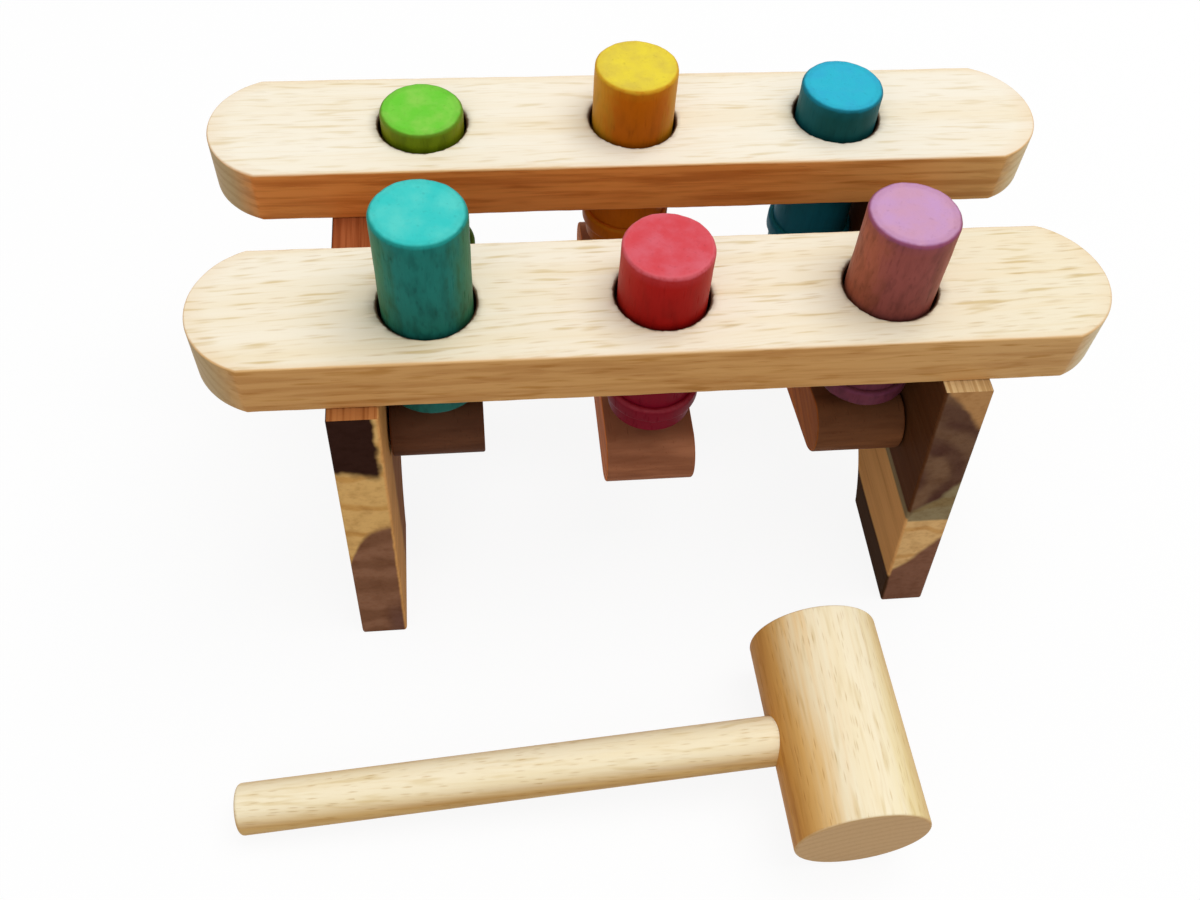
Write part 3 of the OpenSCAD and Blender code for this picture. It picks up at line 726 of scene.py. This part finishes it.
def ringPiece(name, node, peg, body, phase, spec):
    low, high = (np.array(corner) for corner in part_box(node))
    pegLow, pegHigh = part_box(peg)
    centre, radius = (low + high) / 2, (high[0] - low[0]) / 2
    hole = (pegHigh[0] - pegLow[0]) / 2 + spec["gap"]
    theta = np.linspace(0.0, 2.0 * math.pi, pegShape["around"], endpoint=False)[None, :]
    edge = spec["edge"] * (1.0 - spec["edgeWander"] * np.abs(ripple(theta + phase, pegShape["edgeWaves"])))
    bend = np.linspace(0.0, math.pi / 2, 7)[:, None]
    wall = np.linspace(0.0, 1.0, 4)[:, None] * np.ones_like(theta)
    out, turn = radius - edge, np.sin(bend)
    radii = np.concatenate([hole + 0.0 * wall, out + edge * turn, radius + 0.0 * wall[1:-1],
                            (out + edge * turn)[::-1]])
    tall = high[2] - low[2]
    heights = np.concatenate([low[2] + tall * wall, high[2] - edge * (1.0 - np.cos(bend)),
                              high[2] - edge + (2.0 * edge - tall) * wall[1:-1],
                              (low[2] + edge * (1.0 - np.cos(bend)))[::-1]])
    points = turned(centre, radii, heights, theta)
    arris = np.zeros(points.shape[:2])
    arris[4:11] = 0.3 * np.sin(2.0 * bend)
    keep = np.ones(points.shape[:2], dtype=bool)
    piece = layPiece(name, [(points, weave(points, keep), {"arris": arris})], body)
    piece.data.materials.append(materials[node])
    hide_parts(node)


for step, (peg, dye) in enumerate(pegDyes.items()):
    words = peg.split("_")
    camel = words[0] + words[1].capitalize()
    pegPiece(camel + "PegTurned", peg + "_peg", peg + "_peg", step * 1.3, pegShape)
    ringPiece(camel + "RingTurned", peg + "_ring", peg + "_peg", peg + "_peg", step * 0.9, ringShape)
print("pegs and rings turned")

# White table and soft light from above, the right and behind
stage = {"floorHalf": 4.0, "floorDrop": 0.0003, "shadowShare": 0.1, "bounce": 0.5,
         "keyPower": 27.0, "keyPlace": (0.6, 0.3, 2.15), "keySize": 1.6,
         "fillPower": 4.5, "fillPlace": (-0.7, -1.5, 1.1), "fillSize": 1.2, "skyLevel": 0.53}
half, drop = stage["floorHalf"], -stage["floorDrop"]
corners = [(-half, -half, drop), (half, -half, drop), (half, half, drop), (-half, half, drop)]
floorMesh = bpy.data.meshes.new("table")
floorMesh.from_pydata(corners, [], [(0, 1, 2, 3)])
floor = bpy.data.objects.new("table", floorMesh)
bpy.context.scene.collection.objects.link(floor)


def seenRays(tree):
    # 1 for rays that show the backdrop: straight from the camera, or by gloss or through glass
    rays = tree.nodes.new("ShaderNodeLightPath")
    camera, glossy, through = (Wire(tree, rays.outputs["Is %s Ray" % kind])
                               for kind in ("Camera", "Glossy", "Transmission"))
    return camera.orMore(glossy).orMore(through)


tableMaterial = bpy.data.materials.new("tableWhite")
tableMaterial.use_nodes = True
tree = tableMaterial.node_tree
tree.nodes.clear()
output = tree.nodes.new("ShaderNodeOutputMaterial")
seen = seenRays(tree)
paint = seen.make("ShaderNodeBsdfDiffuse", None, {"Color": (0.95, 0.95, 0.95, 1.0)})
shade = seen.make("ShaderNodeBsdfDiffuse", None, {"Color": (stage["bounce"],) * 3 + (1.0,)})
glow = seen.make("ShaderNodeEmission", None, {"Color": (1.0, 1.0, 1.0, 1.0), "Strength": 1.0})
white = seen.make("ShaderNodeMixShader", None, {"Fac": stage["shadowShare"], 1: glow, 2: paint})
mixed = seen.make("ShaderNodeMixShader", None, {"Fac": seen, 1: shade, 2: white})
tree.links.new(mixed.socket, output.inputs["Surface"])
floorMesh.materials.append(tableMaterial)

world = bpy.data.worlds.new("studio")
bpy.context.scene.world = world
world.use_nodes = True
tree = world.node_tree
tree.nodes.clear()
output = tree.nodes.new("ShaderNodeOutputWorld")
sky = seenRays(tree) * (1.0 - stage["skyLevel"]) + stage["skyLevel"]
backdrop = sky.make("ShaderNodeBackground", None, {"Color": (1.0, 1.0, 1.0, 1.0), "Strength": sky})
tree.links.new(backdrop.socket, output.inputs["Surface"])


def areaLight(name, power, place, size, aim=(0.0, 0.0, 0.05)):
    light = bpy.data.lights.new(name, "AREA")
    light.energy, light.size = power, size
    lamp = bpy.data.objects.new(name, light)
    lamp.location = place
    lamp.rotation_euler = (Vector(aim) - Vector(place)).to_track_quat("-Z", "Y").to_euler()
    bpy.context.scene.collection.objects.link(lamp)


areaLight("key", stage["keyPower"], stage["keyPlace"], stage["keySize"])
areaLight("fill", stage["fillPower"], stage["fillPlace"], stage["fillSize"])
print("stage lit")

# Camera of the photograph, worked out from the rails and their holes
camera = {"place": (-0.05725, -0.243935, 0.38155), "lens": 35.561, "shiftY": 0.05,
          "right": (0.99395, -0.09776, 0.05014), "up": (0.05373, 0.8306, 0.55428),
          "forward": (0.09583, 0.54823, -0.83082)}
lens = bpy.data.cameras.new("camera")
lens.sensor_width, lens.lens, lens.shift_y = 36.0, camera["lens"], camera["shiftY"]
lens.clip_start, lens.clip_end = 0.01, 50.0
eye = bpy.data.objects.new("camera", lens)
turn = Matrix((camera["right"], camera["up"], [-f for f in camera["forward"]])).transposed()
eye.matrix_world = Matrix.Translation(camera["place"]) @ turn.to_4x4()
bpy.context.scene.collection.objects.link(eye)
bpy.context.scene.camera = eye
bpy.context.scene.view_settings.view_transform = "Standard"
